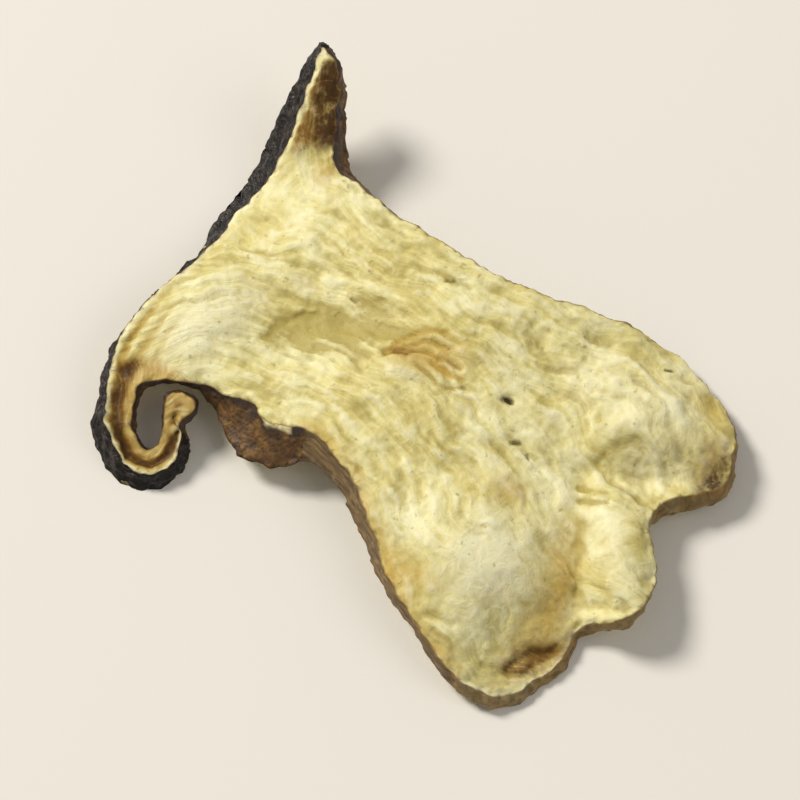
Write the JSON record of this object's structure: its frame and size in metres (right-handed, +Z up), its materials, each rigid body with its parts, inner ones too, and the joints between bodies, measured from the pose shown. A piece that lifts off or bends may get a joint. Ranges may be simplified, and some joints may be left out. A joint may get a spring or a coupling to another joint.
{
  "type": "dried porcini mushroom slice",
  "caption": "Dried porcini slice cut lengthwise through cap and stem, warped by drying, with one cap margin curled in and the other turned up.",
  "frame": {"origin": "on the surface that the slice lies on, under the middle of its bounding box", "axes": "+Y from the foot of the stem to the top of the cap, +Z up out of the better cut face, +X to the turned-up cap margin"},
  "size_m": [0.0454, 0.0618, 0.0107],
  "materials": {
    "dried_flesh": "dry and matte, pale straw flesh with browned edges and a dark wrinkled cap skin"
  },
  "bodies": {
    "root": {"porcini_slice": "dried_flesh"}
  },
  "joints": []
}
